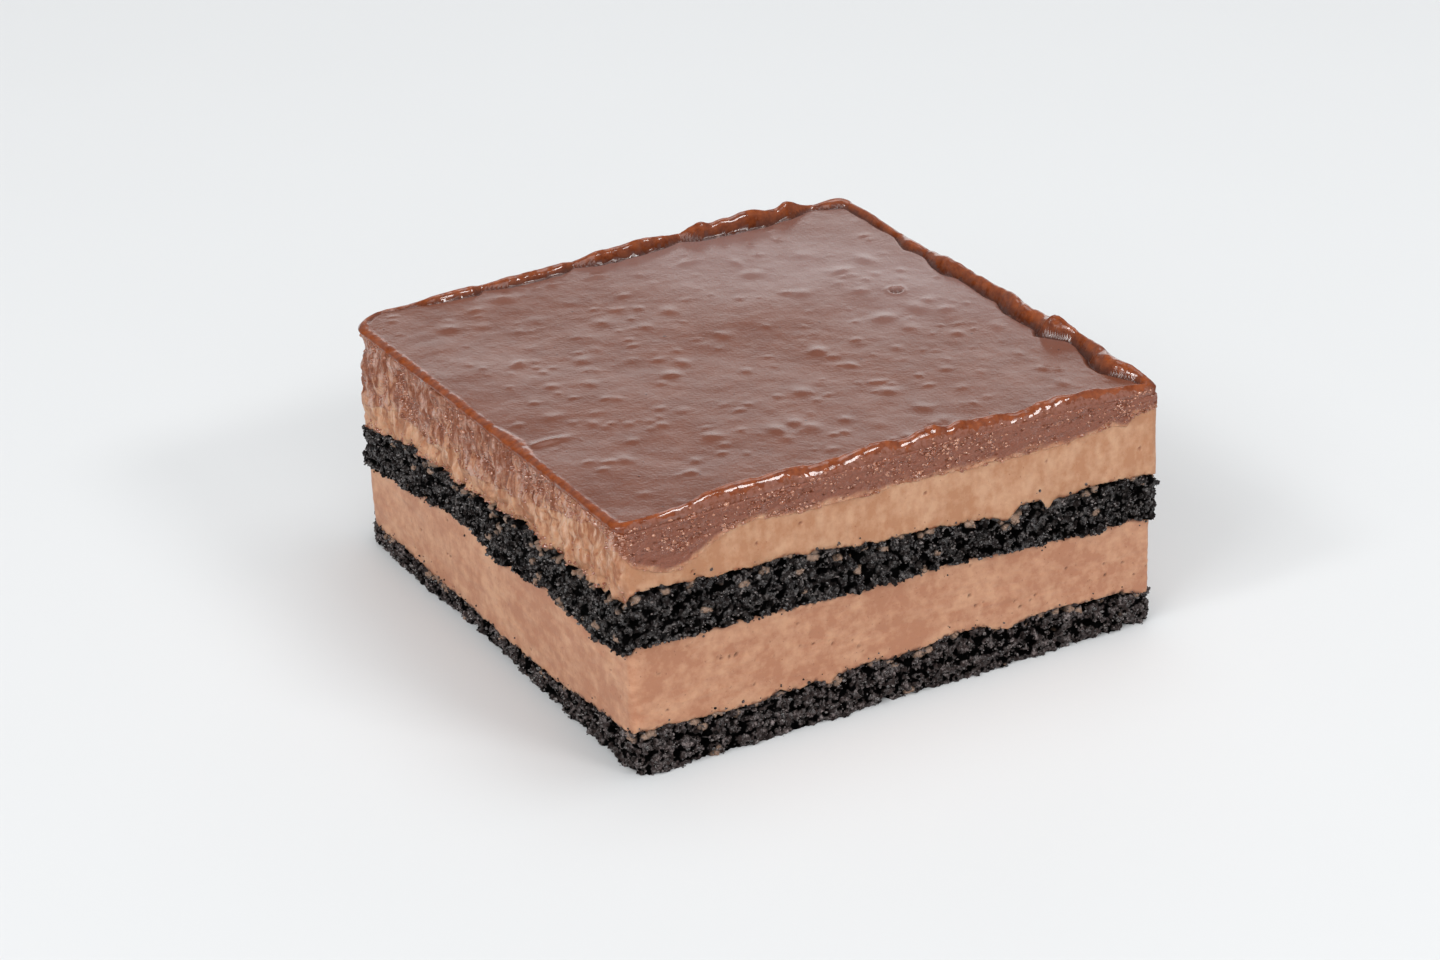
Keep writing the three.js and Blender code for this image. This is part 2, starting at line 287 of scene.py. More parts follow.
def strewn(name, places, sizes, draw, smear=0.0):
    """Many small angular crumbs as one piece, each turned and shaped at random."""
    points, faces = icosahedron()
    count = len(places)
    shape = draw.uniform(0.7, 1.25, (count, 1, 3)) * draw.uniform(0.72, 1.2, (count, 12, 1))
    turn = np.linalg.qr(draw.normal(size=(count, 3, 3)))[0]
    turn *= np.sign(np.linalg.det(turn))[:, None, None]
    bodies = np.einsum("nij,npj->npi", turn, points * shape) * sizes[:, None, None] / 2
    shade = np.repeat(draw.uniform(0, 1, count), 12)
    marks = {"shade": shade, "smear": np.repeat(smear + np.zeros(count), 12)}
    return add_bodies(name, bodies + places[:, None], faces, marks, smooth=False)


def crumbs_on_wall(name, wall, marks, spots, count, draw):
    """Crumbs strewn over a layer's wall, half sunk in it and never in its pores."""
    row = draw.integers(0, len(wall), 3 * count)
    column = draw.integers(0, wall.shape[1], 3 * count)
    closed = np.flatnonzero(marks["openness"][row, column] < 0.35)[:count]
    row, column = row[closed], column[closed]
    sizes = random_sizes(CRUMB_SIZES, len(row), draw)
    places = wall[row, column] + flat_points(*spots[2:])[column] * (CRUMB_SUNK * sizes)[:, None]
    places[:, 2] = np.maximum(places[:, 2], sizes * CRUMB_CLEAR)
    return strewn(name, places, sizes, draw, marks["smear"][row, column])


def add_node(tree, kind, inputs=None, **settings):
    """Adds a shader node. Its inputs are plain values, or sockets to link from."""
    node = tree.nodes.new("ShaderNode" + kind)
    for key, value in settings.items():
        setattr(node, key, value)
    for key, value in (inputs or {}).items():
        if isinstance(value, bpy.types.NodeSocket):
            tree.links.new(value, node.inputs[key])
        else:
            node.inputs[key].default_value = value
    return node


def spots_at(tree, size, detail=2.0, roughness=0.5, stretch=None):
    """Noise from 0 to 1 whose lumps are about size millimetres, on the piece's own place."""
    place = add_node(tree, "TexCoord").outputs["Object"]
    if stretch is not None:
        place = add_node(tree, "VectorMath", {0: place, 1: stretch}, operation="MULTIPLY").outputs[0]
    texture = add_node(tree, "TexNoise", {
        "Vector": place, "Scale": 1 / (size * MM), "Detail": detail, "Roughness": roughness,
    })
    return texture.outputs["Fac"]


def between(tree, value, low, high, to_low=0.0, to_high=1.0):
    """The value stretched so that low to high becomes to_low to to_high, and held there."""
    return add_node(tree, "MapRange", {
        "Value": value, "From Min": low, "From Max": high, "To Min": to_low, "To Max": to_high,
    }).outputs["Result"]


def blend(tree, share, first, second):
    """Colour: the first, and the second by the share."""
    return add_node(tree, "Mix", {0: share, 6: first, 7: second}, data_type="RGBA").outputs[2]


def sum_of(tree, first, second, operation="ADD"):
    """Two numbers put together."""
    return add_node(tree, "Math", {0: first, 1: second}, operation=operation).outputs[0]


def mark_of(tree, name):
    """A value kept on the piece's points."""
    return add_node(tree, "Attribute", attribute_name=name).outputs["Fac"]


def bumped(tree, height, depth, strength=1.0):
    """Normals of a fine relief that is depth millimetres deep."""
    return add_node(tree, "Bump", {
        "Strength": strength, "Distance": depth * MM, "Height": height,
    }).outputs["Normal"]


def feed(tree, node, **values):
    """Links values into a node's inputs, with _ for each space in an input's name."""
    for name, value in values.items():
        tree.links.new(value, node.inputs[name.replace("_", " ")])


def new_finish(name, **shine):
    """A material with a Principled shader, and its tree."""
    material = bpy.data.materials.new(name)
    material.use_nodes = True
    shader = material.node_tree.nodes["Principled BSDF"]
    for socket, value in shine.items():
        shader.inputs[socket.replace("_", " ")].default_value = value
    return material, material.node_tree, shader


def new_group(name, inputs, outputs):
    """A shader node group with named sockets, what it is given, and its end node."""
    group = bpy.data.node_groups.new(name, "ShaderNodeTree")
    for in_out, sockets in (("INPUT", inputs), ("OUTPUT", outputs)):
        for socket, kind in sockets.items():
            group.interface.new_socket(socket, in_out=in_out, socket_type="NodeSocket" + kind)
    given = group.nodes.new("NodeGroupInput").outputs
    return group, given, group.nodes.new("NodeGroupOutput")


def crumb_group():
    """Moist cocoa crumb: brown black grains, paler on the tops of its grit (partly pale crumb,
    partly a painted highlight), black pores as painted shade, and a wet film on some grains.
    """
    group, given, ends = new_group("Moist crumb", {
        "Grain Colour": "Color", "Pale And Lit Top Colour": "Color", "Pore Shade Colour": "Color", "Openness": "Float",
    }, {"Colour": "Color", "Wet Film": "Float", "Height": "Float"})
    # Pale goes where the grit, which is also the bump's height, stands high: partly pale crumb,
    # partly a painted highlight on grain tops.
    patches = between(group, spots_at(group, 1.6, 3), 0.42, 0.6)
    grit = spots_at(group, 0.5, 3, 0.65)
    pale = sum_of(group, patches, between(group, grit, 0.48, 0.6), "MULTIPLY")
    colour = blend(group, pale, given["Grain Colour"], given["Pale And Lit Top Colour"])
    # Pores and holes take the near black pore colour: painted shade.
    colour = blend(group, given["Openness"], colour, given["Pore Shade Colour"])
    film = between(group, spots_at(group, 0.6, 2, 0.6), 0.47, 0.53)
    closed = sum_of(group, 1.0, given["Openness"], "SUBTRACT")
    film = sum_of(group, film, closed, "MULTIPLY")
    feed(group, ends, Colour=colour, Wet_Film=film, Height=grit)
    return group


MOIST_CRUMB = crumb_group()


def crumb_finish(name, grain, pale, mark, mark_range):
    """A sponge material. Its pores, painted near black as painted shade, come from a mark that is
    kept on the piece's points.
    """
    material, tree, shader = new_finish(
        name, Roughness=0.75, IOR=1.4, Specular_IOR_Level=0.04, Coat_Roughness=0.1
    )
    crumb = add_node(tree, "Group", {
        "Grain Colour": grain, "Pale And Lit Top Colour": pale, "Pore Shade Colour": PORE_SHADE,
        "Openness": between(tree, mark_of(tree, mark), *mark_range),
    }, node_tree=MOIST_CRUMB)
    smear = between(tree, mark_of(tree, "smear"), 0.0, 1.0, 0.0, 0.75)
    colour = blend(tree, smear, crumb.outputs["Colour"], SMEAR_COLOUR)
    wet = sum_of(tree, smear, crumb.outputs["Wet Film"], "MAXIMUM")
    relief = bumped(tree, crumb.outputs["Height"], 0.3)
    feed(tree, shader, Base_Color=colour, Coat_Weight=wet, Normal=relief, Coat_Normal=relief)
    return material


sponge_bottom, wall, marks, spots = cut_layer(
    "sponge_bottom_crumb", FOOT, LOWER_SPONGE_TOP, LOWER_SPONGE_OUT, torn_crumb, SPONGE_PITCH
)
sponge_bottom.data.materials.append(
    crumb_finish("bottom_sponge_crumb", BOTTOM_GRAIN, BOTTOM_PALE_AND_LIT_TOP, "openness", WALL_PORES)
)
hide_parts("sponge_bottom")
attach(sponge_bottom, "root")

bottom_crumbs = crumbs_on_wall(
    "sponge_bottom_crumbs", wall, marks, spots, BOTTOM_CRUMBS, np.random.default_rng(21)
)
bottom_crumbs.data.materials.append(
    crumb_finish("bottom_loose_crumb", BOTTOM_GRAIN, BOTTOM_PALE_AND_LIT_TOP, "shade", CRUMB_PORES)
)
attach(bottom_crumbs, "root")
bottom_wall = wall + FLECK_STAND * flat_points(*spots[2:]), marks["openness"]

# Lower mousse: a thick bed of milk chocolate mousse, set on the sponge and cut with it. The knife
# drew its face level, which left fine lines, and opened rows of small air bubbles.
LOWER_MOUSSE_TOP = {
    "ragged": 0.17, "seed": 14,
    "front": [(-39, 16.8), (-35, 16.9), (-29, 16.6), (-19, 16.5), (-11, 16.2), (-1, 16.1),
              (5, 16.4), (10, 15.8), (14, 15.6), (19, 15.2), (24, 15.1), (28, 14.6), (33, 15),
              (37, 14.3)],
    "right": [(-37, 14.4), (-12, 15.2), (15, 14.2), (37, 13.6)],
    "back": [(-38, 11.6), (-20, 13.2), (10, 14), (38, 13.6)],
    "left": [(-34, 15.5), (-28, 14.9), (-22, 15.4), (-16, 15.6), (-9, 14.6), (-2, 14), (4, 15.3),
             (11, 15), (19, 13.6), (30, 12.4), (36, 11.4)],
}
LOWER_MOUSSE_OUT = {
    "front": -0.2, "right": [(-36, -0.6), (0, -0.3)], "back": -0.3, "left": [(0, 0), (36, 0.5)],
}
MOUSSE_PITCH = 0.24
BUBBLE_ROWS = [(-12, 10.5, 4), (7.2, 11, 3.4), (18, 7.7, 2.4), (-25, 12.6, 3), (30, 9.5, 2)]
BUBBLE_SIZE, BUBBLE_DEPTH = (0.9, 0.9, 0.62), 0.3
KNIFE_LINES = [(0.07, (14, 14, 1.6), 31), (0.04, (7, 7, 0.5), 32), (0.03, (3, 3, 0.22), 33)]
LOWER_SWELL = [(0.14, 8, 34), (0.07, (3, 3, 1.6), 35)]
LOWER_STAINS = [(1, 0.5, 37), (0.4, 1.5, 38)]
LOWER_BROWN, LOWER_CLOUD = (0.425, 0.193, 0.11, 1), (0.56, 0.305, 0.185, 1)
# The stain colour also paints the bubble pits dark, as painted shade.
LOWER_STAIN_AND_PIT_SHADE, LEVEL_DRAW = (0.13, 0.05, 0.03, 1), (0.5, 0.5, 1.6)
# Fibre colours: the groove colour is partly painted shade, the ridge colour partly a painted sheen.
FIBRE_GROOVE_SHADE, FIBRE_RIDGE_SHEEN = (0.3, 0.11, 0.05, 1), (0.62, 0.4, 0.29, 1)


def drawn_mousse(points, spots, above, below):
    """Height of a mousse face that a knife drew level, with its bubbles and sponge stains."""
    bubbles, chance = nearest_centre(points, BUBBLE_SIZE, 36)
    near_row = 0
    for x, z, spread in BUBBLE_ROWS:
        across = (points[..., 0] - x) / spread
        up = (points[..., 2] - z + 0.3 * (points[..., 0] - x)) / 0.8
        near_row = near_row + np.exp(-across**2 - up**2) * (spots[3] < -0.9)
    pit = (1 - ease(bubbles, 0.1, 0.34)) * (chance < 0.02 + 0.5 * np.clip(near_row, 0, 1))
    near_seam = 1 - ease(np.minimum(above, below), 0.05, 0.55)
    stain = near_seam * ease(waves(points, LOWER_STAINS), -0.1, 0.5)
    height = waves(points, KNIFE_LINES + LOWER_SWELL) - BUBBLE_DEPTH * pit
    return height, {"pit": pit, "stain": stain, "dragged": 0 * height}


def mousse_group():
    """Set mousse: a soft pale brown with slow clouds, faint strokes, fine specks and stains, and
    bubble pits painted in the stain colour as painted shade.
    """
    group, given, ends = new_group("Set mousse", {
        "Mousse Colour": "Color", "Cloud Colour": "Color", "Stain And Pit Shade Colour": "Color",
        "Pit": "Float", "Stain": "Float", "Draw": "Vector",
    }, {"Colour": "Color", "Height": "Float"})
    strokes = spots_at(group, 2.4, 4, 0.6, given["Draw"])
    clouds = sum_of(group, spots_at(group, 7, 6, 0.62), spots_at(group, 1.5, 4, 0.6))
    clouds = sum_of(group, clouds, sum_of(group, strokes, 0.5, "MULTIPLY"))
    share = between(group, clouds, 1.1, 1.46)
    colour = blend(group, share, given["Mousse Colour"], given["Cloud Colour"])
    specks = between(group, spots_at(group, 0.4, 3, 0.6), 0.66, 0.74, 0.0, 0.6)
    colour = blend(group, specks, colour, given["Stain And Pit Shade Colour"])
    colour = blend(group, given["Stain"], colour, given["Stain And Pit Shade Colour"])
    # Bubble pits take the stain colour: painted shade in the pits.
    colour = blend(group, given["Pit"], colour, given["Stain And Pit Shade Colour"])
    grain = spots_at(group, 0.34, 3, 0.65)
    feed(group, ends, Colour=colour, Height=sum_of(group, grain, strokes))
    return group


SET_MOUSSE = mousse_group()


def fibre_group():
    """Fibres of a face that was dragged upright: red brown grooves between greyish ridges, partly
    their colour, partly painted shade in the grooves and a painted sheen on the ridges.
    """
    group, given, ends = new_group("Dragged fibres", {
        "Colour": "Color", "Dragged": "Float", "Groove Shade Colour": "Color", "Ridge Sheen Colour": "Color",
    }, {"Colour": "Color", "Height": "Float"})
    fibre = spots_at(group, 0.8, 5, 0.62, (1, 1, 0.26))
    groove = sum_of(group, between(group, fibre, 0.49, 0.4, 0, 0.95), given["Dragged"], "MULTIPLY")
    ridge = sum_of(group, between(group, fibre, 0.52, 0.62, 0, 0.8), given["Dragged"], "MULTIPLY")
    # Colour follows the fibres' height: painted shade in the grooves, a painted sheen on the ridges.
    colour = blend(group, groove, given["Colour"], given["Groove Shade Colour"])
    colour = blend(group, ridge, colour, given["Ridge Sheen Colour"])
    height = sum_of(group, fibre, given["Dragged"], "MULTIPLY")
    feed(group, ends, Colour=colour, Height=height)
    return group


DRAGGED_FIBRES = fibre_group()


def mousse_finish(name, mousse, cloud, stain, draw):
    """A mousse material. draw stretches its strokes along the way the knife went."""
    material, tree, shader = new_finish(
        name, Roughness=0.5, IOR=1.4, Subsurface_Weight=0.3, Subsurface_Scale=1.2 * MM,
        Subsurface_Radius=(1.0, 0.55, 0.35), Specular_IOR_Level=0.4,
    )
    body = add_node(tree, "Group", {
        "Mousse Colour": mousse, "Cloud Colour": cloud, "Stain And Pit Shade Colour": stain, "Draw": draw,
        "Pit": mark_of(tree, "pit"), "Stain": mark_of(tree, "stain"),
    }, node_tree=SET_MOUSSE)
    fibres = add_node(tree, "Group", {
        "Colour": body.outputs["Colour"], "Dragged": mark_of(tree, "dragged"),
        "Groove Shade Colour": FIBRE_GROOVE_SHADE, "Ridge Sheen Colour": FIBRE_RIDGE_SHEEN,
    }, node_tree=DRAGGED_FIBRES)
    fibre_height = sum_of(tree, fibres.outputs["Height"], 6.0, "MULTIPLY")
    relief = bumped(tree, sum_of(tree, body.outputs["Height"], fibre_height), 0.1, 0.35)
    feed(tree, shader, Base_Color=fibres.outputs["Colour"], Normal=relief)
    return material


mousse_lower, lower_wall, _, mousse_spots = cut_layer(
    "mousse_lower_bed", LOWER_SPONGE_TOP, LOWER_MOUSSE_TOP, LOWER_MOUSSE_OUT, drawn_mousse,
    MOUSSE_PITCH,
)
mousse_lower.data.materials.append(
    mousse_finish("lower_mousse", LOWER_BROWN, LOWER_CLOUD, LOWER_STAIN_AND_PIT_SHADE, LEVEL_DRAW)
)
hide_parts("mousse_lower")
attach(mousse_lower, "root")

# Middle sponge: a second sheet of the same cocoa sponge, wetter than the first, pressed into the
# mousse, so that its upper edge is ragged and mousse shows in some of its torn pockets.
UPPER_SPONGE_TOP = {
    "ragged": 0.24, "seed": 17,
    "front": [(-39, 23.1), (-36, 23.7), (-32, 23.7), (-27, 23.3), (-21, 22.9), (-17, 23.1),
              (-12, 22.7), (-7, 21.9), (-1, 21.6), (5, 21.3), (10, 20.8), (13, 20.6), (15, 19.7),
              (17, 21.2), (20, 21), (21, 19.6), (22, 20.5), (27, 20.8), (32, 21), (38, 20.2)],
    "right": [(-37, 20.2), (-10, 21.4), (12, 20.2), (37, 19.6)],
    "back": [(-38, 17.2), (-16, 19.5), (10, 20.6), (38, 19.6)],
    "left": [(-34, 22.2), (-29, 21.9), (-23, 22.1), (-16, 21.6), (-10, 22), (-6, 21.5), (1, 20.9),
             (7, 20.4), (14, 19.9), (20, 20.4), (25, 19.2), (36, 16.9)],
}
UPPER_SPONGE_OUT = {
    "front": 0.1, "right": [(-36, -0.4), (0, -0.2)], "back": 0, "left": [(0, 0.3), (36, 0.7)],
}
MIDDLE_CRUMBS = 5200
MIDDLE_GRAIN = (0.015, 0.0115, 0.011, 1)
MIDDLE_PALE_AND_LIT_TOP = (0.12, 0.106, 0.102, 1)

sponge_middle, wall, marks, spots = cut_layer(
    "sponge_middle_crumb", LOWER_MOUSSE_TOP, UPPER_SPONGE_TOP, UPPER_SPONGE_OUT, torn_crumb,
    SPONGE_PITCH,
)
sponge_middle.data.materials.append(
    crumb_finish("middle_sponge_crumb", MIDDLE_GRAIN, MIDDLE_PALE_AND_LIT_TOP, "openness", WALL_PORES)
)
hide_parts("sponge_middle")
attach(sponge_middle, "root")

middle_crumbs = crumbs_on_wall(
    "sponge_middle_crumbs", wall, marks, spots, MIDDLE_CRUMBS, np.random.default_rng(22)
)
middle_crumbs.data.materials.append(
    crumb_finish("middle_loose_crumb", MIDDLE_GRAIN, MIDDLE_PALE_AND_LIT_TOP, "shade", CRUMB_PORES)
)
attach(middle_crumbs, "root")
middle_wall = wall + FLECK_STAND * flat_points(*spots[2:]), marks["openness"]

# Upper mousse: the second bed of mousse, thinner at the front corner. The knife came down through
# it, so its strokes stand upright, and on the left face it was dragged into rough scoops.
UPPER_MOUSSE_TOP = {
    "ragged": 0.13, "seed": 20,
    "front": [(-38, 27.9), (-36, 26.6), (-34, 25.7), (-31, 25.1), (-27, 26.9), (-24, 28.5),
              (-20, 28.8), (-16, 28.3), (-5, 28), (-1, 28.3), (11, 27.9), (20, 27.7), (25, 27.9),
              (31, 28.3), (33, 27.7), (34, 28.9), (36, 29.1)],
    "right": [(-36, 29), (-10, 28), (15, 28.6), (37, 27.6)],
    "back": [(-38, 21), (-20, 26), (10, 27.8), (38, 27.6)],
    "left": [(-35, 28.9), (-31, 30.1), (-24, 28.3), (-16, 26.5), (-8, 24.9), (4, 23), (8, 24.6),
             (15, 22.5), (24, 23.6), (35, 20.3)],
}
UPPER_MOUSSE_OUT = {
    "front": 0, "right": [(-37.4, 0.5), (-34, 0)], "back": -0.1, "left": [(0, 0), (36, 0.5)],
}
SCOOP_SIZE, SCOOP_DEPTH, CREASE_DEPTH, FURROW_DEPTH = (9, 2.5, 3.6), 1.05, 0.25, 0.22
DRAG_WAVES = [(0.22, (2.4, 2.4, 7), 44), (0.16, 0.6, 40)]
FURROWS = [(0.6, (0.8, 0.8, 2.4), 42), (0.55, (0.42, 0.42, 1.1), 43)]
UPRIGHT_STROKES = [(0.06, (2.2, 2.2, 12), 45), (0.03, (0.7, 0.7, 6), 46)]
UPPER_SWELL = [(0.12, 7, 47), (0.05, 2.4, 48)]
SMEARED_CORNER, CORNER_SPREAD = (-38.3, -37), 2.2
UPPER_BROWN, UPPER_CLOUD = (0.435, 0.208, 0.11, 1), (0.56, 0.32, 0.195, 1)
# The stain colour also paints the bubble pits dark, as painted shade.
UPPER_STAIN_AND_PIT_SHADE, UPRIGHT_DRAW = (0.27, 0.098, 0.05, 1), (1.5, 1.5, 0.55)


def dragged(points):
    """Height of a face that was dragged upright, and its furrows: -1 in a groove, 1 on a ridge."""
    bent = points + np.array([0, 0.5, 0]) * noise(points, 3, 39)[..., None]
    scoops, _ = nearest_centre(bent, SCOOP_SIZE, 41)
    creases, furrows = ease(scoops, 0.5, 0.8), waves(bent, FURROWS)
    height = SCOOP_DEPTH * (0.5 - scoops) - CREASE_DEPTH * creases + FURROW_DEPTH * furrows
    return height + waves(points, DRAG_WAVES), furrows - 0.9 * creases


def at_smeared_corner(points):
    """1 at the front left corner, where the ganache was smeared round it, and 0 away from it."""
    x, y = SMEARED_CORNER
    return np.exp(-((points[..., 0] - x) ** 2 + (points[..., 1] - y) ** 2) / CORNER_SPREAD)


def upright_mousse(points, spots, above, below):
    """Height of the upper mousse's face, its pits and stains. The left face was dragged."""
    calm = waves(points, UPRIGHT_STROKES + UPPER_SWELL)
    bubbles, chance = nearest_centre(points, 1.2, 49)
    pit = (1 - ease(bubbles, 0.08, 0.26)) * (chance < 0.06)
    leftness = np.maximum(0, -spots[2]) ** 2
    rough, furrows = dragged(points)
    near_sponge = 1 - ease(above, 0.05, 0.5)
    # On the left face the stain gathers where the furrows sink: partly smeared ganache, partly
    # painted shade in the grooves.
    patches = noise(points, (1.3, 1.3, 2.2), 52) - 0.65 * furrows - 0.12 * below
    stain = near_sponge * ease(noise(points, 0.5, 51), 0, 0.5)
    stain = stain + 0.6 * leftness * ease(patches, -0.1, 0.8) * ease(above, 0.2, 0.9)
    on_corner = ease(noise(points, (0.8, 0.8, 1.6), 53), -0.3, 0.4)
    stain = stain + 0.5 * at_smeared_corner(points) * on_corner
    height = calm * (1 - leftness) + rough * leftness - 0.25 * pit
    dragged_here = leftness * (0.35 + 0.65 * ease(above, 1.2, 3.6))
    return height, {"pit": pit, "stain": np.clip(stain, 0, 1), "dragged": dragged_here}


mousse_upper, upper_wall, _, _ = cut_layer(
    "mousse_upper_bed", UPPER_SPONGE_TOP, UPPER_MOUSSE_TOP, UPPER_MOUSSE_OUT, upright_mousse,
    MOUSSE_PITCH,
)
mousse_upper.data.materials.append(
    mousse_finish("upper_mousse", UPPER_BROWN, UPPER_CLOUD, UPPER_STAIN_AND_PIT_SHADE, UPRIGHT_DRAW)
)
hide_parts("mousse_upper")
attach(mousse_upper, "root")

# Stray crumbs: specks of sponge that the knife dragged out onto the mousse beside each sheet. They
# are stuck to its face, thickest close to the sponge.
STRAY_CRUMBS = {"above bottom sponge": 260, "below middle sponge": 260, "above middle sponge": 200}
STRAY_SIZES, STRAY_REACH, STRAY_ROWS = (0.22, 0.1, 0.5), 0.45, 9


def stray_places(wall, from_top, count, draw):
    """Places on a mousse wall, close above its lower seam or close below its upper one."""
    column = draw.integers(0, wall.shape[1], count)
    row = (draw.exponential(STRAY_REACH, count) / MOUSSE_PITCH).astype(int).clip(0, STRAY_ROWS)
    row = len(wall) - 1 - row if from_top else row
    return wall[row, column] + 0.04 * flat_points(*mousse_spots[2:])[column]


draw = np.random.default_rng(23)
places = np.concatenate([
    stray_places(lower_wall, False, STRAY_CRUMBS["above bottom sponge"], draw),
    stray_places(lower_wall, True, STRAY_CRUMBS["below middle sponge"], draw),
    stray_places(upper_wall, False, STRAY_CRUMBS["above middle sponge"], draw),
])
sizes = random_sizes(STRAY_SIZES, len(places), draw)
stray = strewn("stray_sponge_crumbs", places, sizes, draw)
stray.data.materials.append(
    crumb_finish("stray_crumb", BOTTOM_GRAIN, BOTTOM_PALE_AND_LIT_TOP, "shade", (0.7, 1.0))
)
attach(stray, "root")

# Ganache: a firm chocolate layer. Cut cleanly at the front it is grainy, with lines of wet
# specks. On the left face a warm knife smeared it down over the mousse in upright streaks.
GANACHE_TOP = {
    "ragged": 0, "seed": 0,
    "front": [(-38, 31.0), (-20, 31.5), (8, 32.1), (28, 31.7), (38, 30.9)],
    "right": [(-37, 30.8), (20, 31.1), (37, 31.8)],
    "back": [(-38, 30.8), (0, 31.2), (25, 31.8), (38, 31.8)],
    "left": 31.15,
}
GANACHE_OUT = {
    "front": 0.1, "right": [(-37, 0.5), (-30, 0)], "back": 0, "left": [(0, 0), (36, 0.5)],
}
GANACHE_PITCH = 0.2
GANACHE_GRAIN = [(0.06, (0.8, 0.8, 0.5), 61), (0.04, (0.4, 0.4, 0.3), 62), (0.08, (6, 6, 0.8), 63)]
OPENED = [(1, (8, 8, 0.9), 64), (0.5, (2.2, 2.2, 0.6), 65)]
PIT_SIZE, PIT_DEPTH = (0.66, 0.66, 0.44), 0.22
# Hollow colours are partly the ganache's own wet colour and partly painted shade in its pits,
# grooves and creases.
SHADED_HOLLOW_MAUVE, MAUVE = (0.18, 0.044, 0.016, 1), (0.232, 0.083, 0.051, 1)
SHADED_HOLLOW_TAN, TAN, PALE_TAN = (0.32, 0.105, 0.045, 1), (0.42, 0.18, 0.095, 1), (0.56, 0.31, 0.19, 1)
# Fibre colours: the groove colour is partly painted shade, the ridge colour partly a painted sheen.
GANACHE_GROOVE_SHADE, GANACHE_RIDGE_SHEEN = (0.2, 0.056, 0.022, 1), (0.52, 0.325, 0.265, 1)


def smeared_ganache(points, spots, above, below):
    """Height of the ganache's face, its ridges and hollows, and the mousse mixed into it."""
    opened = ease(waves(points, OPENED), -0.15, 0.4)
    bubbles, chance = nearest_centre(points, PIT_SIZE, 66)
    pit = (1 - ease(bubbles, 0.2, 0.6)) * (chance < 0.06 + 0.6 * opened)
    leftness = np.maximum(0, -spots[2]) ** 2
    rough, furrows = dragged(points)
    rough = rough * ease(below, 0.0, 0.25)
    height = (waves(points, GANACHE_GRAIN) - PIT_DEPTH * pit) * (1 - leftness) + rough * leftness
    # The ridge mark sinks in pits, furrow grooves and creases, where the colours turn to the hollow
    # ones: partly painted shade.
    front_ridge = 0.7 + 0.3 * noise(points, (2, 2, 1), 67) - 0.7 * pit - 0.1 * opened
    ridge = front_ridge * (1 - leftness) + (0.72 + 0.7 * furrows) * leftness
    ridge = ridge - 0.6 * at_smeared_corner(points)
    mixed = 0.9 * noise(points, (1.3, 1.3, 3.6), 68) + 0.25 * furrows + 0.95 - 0.28 * above
    fade = 1 - ease(above + 0.45 * noise(points, (2, 2, 0.8), 69), 0, 0.9)
    smear = (0.3 + 0.7 * ease(mixed, -0.4, 0.9)) * leftness + fade * (1 - leftness)
    dragged_here = leftness + 0 * height
    return height, {"ridge": np.clip(ridge, 0, 1), "smear": smear, "dragged": dragged_here}


ganache, ganache_wall, ganache_marks, _ = cut_layer(
    "ganache_layer", UPPER_MOUSSE_TOP, GANACHE_TOP, GANACHE_OUT, smeared_ganache, GANACHE_PITCH
)


def ganache_finish():
    """Mauve brown ganache: red brown and wet in its hollows, the red brown partly painted shade, and
    tan where mousse is mixed in.
    """
    material, tree, shader = new_finish(
        "ganache", Roughness=0.45, IOR=1.42, Coat_Roughness=0.12, Subsurface_Weight=0.15,
        Subsurface_Scale=0.6 * MM, Subsurface_Radius=(1.0, 0.4, 0.25), Specular_IOR_Level=0.4,
    )
    ridge = mark_of(tree, "ridge")
    grit = between(tree, spots_at(tree, 0.5, 3, 0.65), 0.3, 0.7, -0.3, 0.3)
    level = between(tree, sum_of(tree, ridge, grit), 0.05, 0.75)
    # Darker in the hollows: partly painted shade.
    mauve = blend(tree, level, SHADED_HOLLOW_MAUVE, MAUVE)
    clouds = between(tree, spots_at(tree, 1.3, 3, 0.6, (1, 1, 0.4)), 0.4, 0.65)
    tan = blend(tree, level, SHADED_HOLLOW_TAN, blend(tree, clouds, TAN, PALE_TAN))
    fibres = add_node(tree, "Group", {
        "Colour": blend(tree, mark_of(tree, "smear"), mauve, tan),
        "Dragged": mark_of(tree, "dragged"),
        "Groove Shade Colour": GANACHE_GROOVE_SHADE, "Ridge Sheen Colour": GANACHE_RIDGE_SHEEN,
    }, node_tree=DRAGGED_FIBRES)
    drops = between(tree, spots_at(tree, 0.8, 3, 0.6), 0.46, 0.54)
    wet = sum_of(tree, drops, between(tree, level, 1.0, 0.7), "MULTIPLY")
    bumps = sum_of(tree, spots_at(tree, 0.5, 3, 0.65), spots_at(tree, 0.9, 2, stretch=(1, 1, 2)))
    bumps = sum_of(tree, bumps, sum_of(tree, fibres.outputs["Height"], 2.0, "MULTIPLY"))
    feed(tree, shader, Base_Color=fibres.outputs["Colour"], Coat_Weight=wet)
    feed(tree, shader, Normal=bumped(tree, bumps, 0.2), Coat_Normal=bumped(tree, bumps, 0.5))
    return material


ganache.data.materials.append(ganache_finish())
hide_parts("ganache")
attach(ganache, "root")

